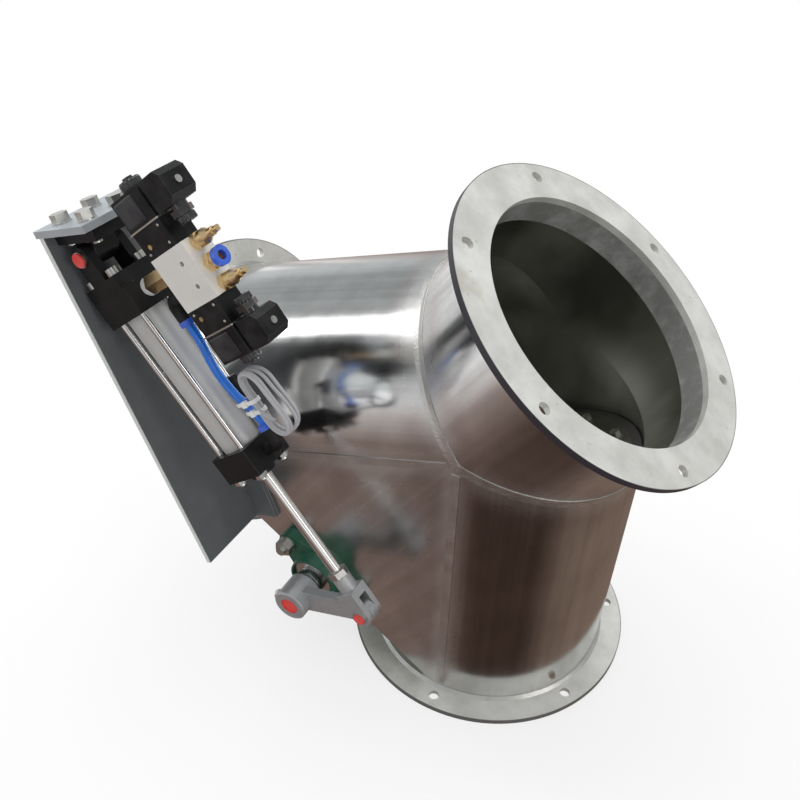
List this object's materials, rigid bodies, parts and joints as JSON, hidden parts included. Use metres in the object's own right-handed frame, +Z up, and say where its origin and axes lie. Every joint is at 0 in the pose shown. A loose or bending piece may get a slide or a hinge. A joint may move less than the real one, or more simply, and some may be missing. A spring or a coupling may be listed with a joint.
{
  "type": "diverter valve",
  "caption": "Two-way flap diverter valve for bulk ducts: round flanged branch pipes, a rubber-edged flap and an air cylinder with a solenoid valve.",
  "frame": {"origin": "centre of the outlet B flange face", "axes": "+Z up the outlet B pipe; outlet A leans to -X; -Y is the actuator side; the flap shaft lies along Y"},
  "size_m": [0.5834, 0.393, 0.577],
  "materials": {
    "stainless": "brushed sheet, bright",
    "flange_steel": "pickled, matt",
    "weld": "pickled weld",
    "machined": "turned and milled",
    "zinc": "plated hardware",
    "bracket_grey": "dark grey, satin",
    "housing_green": "dark green, satin",
    "chrome": "polished",
    "tube_alloy": "anodised, satin",
    "valve_alloy": "natural, satin",
    "cap_black": "black, satin",
    "brass": "plain, satin",
    "black_plastic": "moulded, fine grain",
    "red_plastic": "moulded",
    "blue_plastic": "moulded",
    "hose_blue": "extruded, smooth",
    "white_plastic": "plain",
    "cable_grey": "smooth jacket",
    "seal_rubber": "sheet, matt",
    "bearing_steel": "ground"
  },
  "bodies": {
    "duct": {"inlet_pipe": "stainless", "outlet_shell_a": "stainless", "outlet_shell_b": "stainless", "outlet_throats": "stainless", "side_plates": "stainless", "floor_plate": "stainless", "inlet_flange": "flange_steel", "outlet_flange_a": "flange_steel", "outlet_flange_b": "flange_steel", "weld_seams": "weld", "bearing_housings": "housing_green", "bearing_races": "bearing_steel", "bearing_studs": "zinc", "bracket_web": "bracket_grey", "bracket_head": "flange_steel", "pivot_block": "cap_black", "mount_bolts": "zinc"},
    "flap": {"flap_carrier": "stainless", "flap_seal": "seal_rubber", "flap_clamp": "stainless", "flap_screws": "zinc", "shaft": "machined", "bearing_rings": "bearing_steel", "lever_arm": "machined", "hub_screw": "zinc", "shaft_cap": "red_plastic"},
    "cylinder": {"rear_cap": "cap_black", "front_cap": "cap_black", "barrel": "tube_alloy", "tie_rods": "chrome", "rear_clevis": "cap_black", "clevis_bolts": "zinc", "pivot_pin": "zinc", "pivot_pin_cap": "red_plastic", "port_nipple": "brass", "seal_tape": "white_plastic", "valve_block": "valve_alloy", "pilot_blocks": "black_plastic", "pilot_plates": "zinc", "coils": "black_plastic", "coil_nuts": "black_plastic", "plugs": "black_plastic", "cable_glands": "black_plastic", "plug_screws": "zinc", "mufflers": "brass", "air_inlet": "brass", "release_collars": "blue_plastic", "elbows": "black_plastic", "air_hose": "hose_blue", "reed_switch": "black_plastic", "sensor_cable": "cable_grey", "cable_coil": "cable_grey", "cable_ties": "white_plastic"},
    "rod": {"piston_rod": "chrome", "lock_nut": "zinc", "rod_clevis": "machined", "clevis_pin": "zinc", "clevis_pin_cap": "red_plastic"},
    "button_rear": {"override_rear": "brass"},
    "button_front": {"override_front": "brass"}
  },
  "joints": [
    {"name": "flap_turn", "type": "hinge", "parent": "duct", "child": "flap", "pos_m": [-0.14786, 0, 0.13347], "axis": [0, -1, 0], "range_deg": [0, 48.43]},
    {"name": "cylinder_swing", "type": "hinge", "parent": "duct", "child": "cylinder", "pos_m": [-0.31705, -0.188, 0.4875], "axis": [0, -1, 0], "range_deg": [-0.8749, 0]},
    {"name": "rod_slide", "type": "slide", "parent": "cylinder", "child": "rod", "axis": [0.6106, 0, -0.7919], "range_m": [-0.07157, 0]},
    {"name": "rear_override", "type": "slide", "parent": "cylinder", "child": "button_rear", "axis": [0, 1, 0], "range_m": [0, 0.0008], "stiffness_N_per_m": 500},
    {"name": "front_override", "type": "slide", "parent": "cylinder", "child": "button_front", "axis": [0, 1, 0], "range_m": [0, 0.0008], "stiffness_N_per_m": 500}
  ],
  "couplings": [
    {"joint": "cylinder_swing", "follows": "flap_turn", "ratio": -0.018026},
    {"joint": "rod_slide", "follows": "flap_turn", "m_per_rad": -0.084647}
  ]
}
